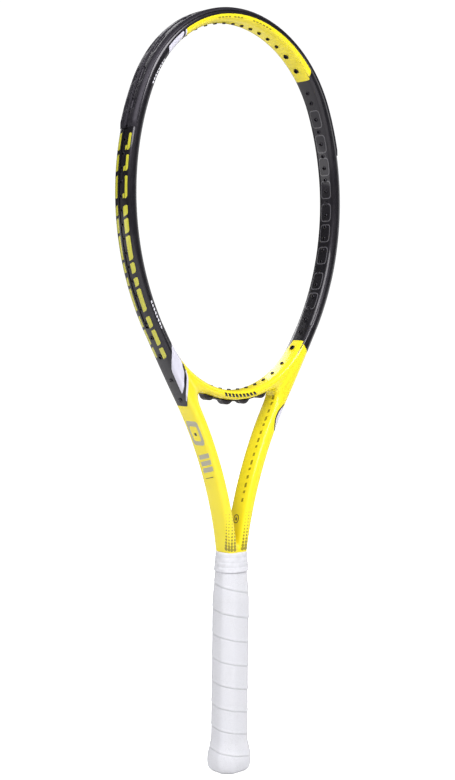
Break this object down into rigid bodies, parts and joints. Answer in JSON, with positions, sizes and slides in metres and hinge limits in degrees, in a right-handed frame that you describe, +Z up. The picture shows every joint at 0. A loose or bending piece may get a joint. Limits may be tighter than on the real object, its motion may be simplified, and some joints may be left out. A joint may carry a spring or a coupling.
{
  "type": "tennis racket",
  "caption": "Unstrung tennis racket: moulded hollow hoop with open throat, head guard, grommet strips, damper capsules, wrapped octagonal handle and a butt cap with a trap door.",
  "frame": {"origin": "centre of the butt end, at the bottom of the handle", "axes": "+Z up the racket to the crown of the head, +Y across its depth to the rear face, +X across the face"},
  "size_m": [0.261, 0.0372, 0.6857],
  "materials": {
    "frame_paint": "gloss lacquer over carbon laminate, black, yellow and white zones",
    "bridge_paint": "gloss lacquer, yellow",
    "guard_nylon": "fine matte texture",
    "grommet_nylon": "satin",
    "capsule_plastic": "satin",
    "bead_metal": "polished beads",
    "handle_foam": "moulded foam skin",
    "cap_plastic": "satin moulded",
    "staple_steel": "bright wire",
    "grip_tape": "perforated synthetic leather tape",
    "finishing_tape": "self-adhesive tape",
    "collar_rubber": "matte ribbed"
  },
  "bodies": {
    "racket": {"frame_tube": "frame_paint", "throat_bridge": "bridge_paint", "head_guard": "guard_nylon", "grommet_strip_left": "grommet_nylon", "grommet_strip_right": "grommet_nylon", "throat_grommet_strip": "grommet_nylon", "shoulder_grommets_left": "grommet_nylon", "shoulder_grommets_right": "grommet_nylon", "damper_capsule_upper_left": "capsule_plastic", "damper_capsule_upper_right": "capsule_plastic", "damper_capsule_lower_left": "capsule_plastic", "damper_capsule_lower_right": "capsule_plastic", "pallet_front": "handle_foam", "pallet_rear": "handle_foam", "butt_cap": "cap_plastic", "butt_cap_staples": "staple_steel", "grip_wrap": "grip_tape", "grip_staple": "staple_steel", "finishing_tape": "finishing_tape", "grip_collar": "collar_rubber"},
    "trap_door": {"butt_cap_door": "cap_plastic"},
    "beads_upper_left": {"damper_beads_upper_left": "bead_metal"},
    "beads_upper_right": {"damper_beads_upper_right": "bead_metal"},
    "beads_lower_left": {"damper_beads_lower_left": "bead_metal"},
    "beads_lower_right": {"damper_beads_lower_right": "bead_metal"}
  },
  "joints": [
    {"name": "trap_door_hinge", "type": "hinge", "parent": "racket", "child": "trap_door", "pos_m": [0, 0.0066, 0.0014], "axis": [1, 0, 0], "range_deg": [0, 100]},
    {"name": "beads_upper_left_slide", "type": "slide", "parent": "racket", "child": "beads_upper_left", "axis": [0.2351, 0, 0.972], "range_m": [-0.003, 0.003]},
    {"name": "beads_upper_right_slide", "type": "slide", "parent": "racket", "child": "beads_upper_right", "axis": [-0.2351, 0, 0.972], "range_m": [-0.003, 0.003]},
    {"name": "beads_lower_left_slide", "type": "slide", "parent": "racket", "child": "beads_lower_left", "axis": [-0.3123, 0, 0.95], "range_m": [-0.003, 0.003]},
    {"name": "beads_lower_right_slide", "type": "slide", "parent": "racket", "child": "beads_lower_right", "axis": [0.3123, 0, 0.95], "range_m": [-0.003, 0.003]}
  ]
}
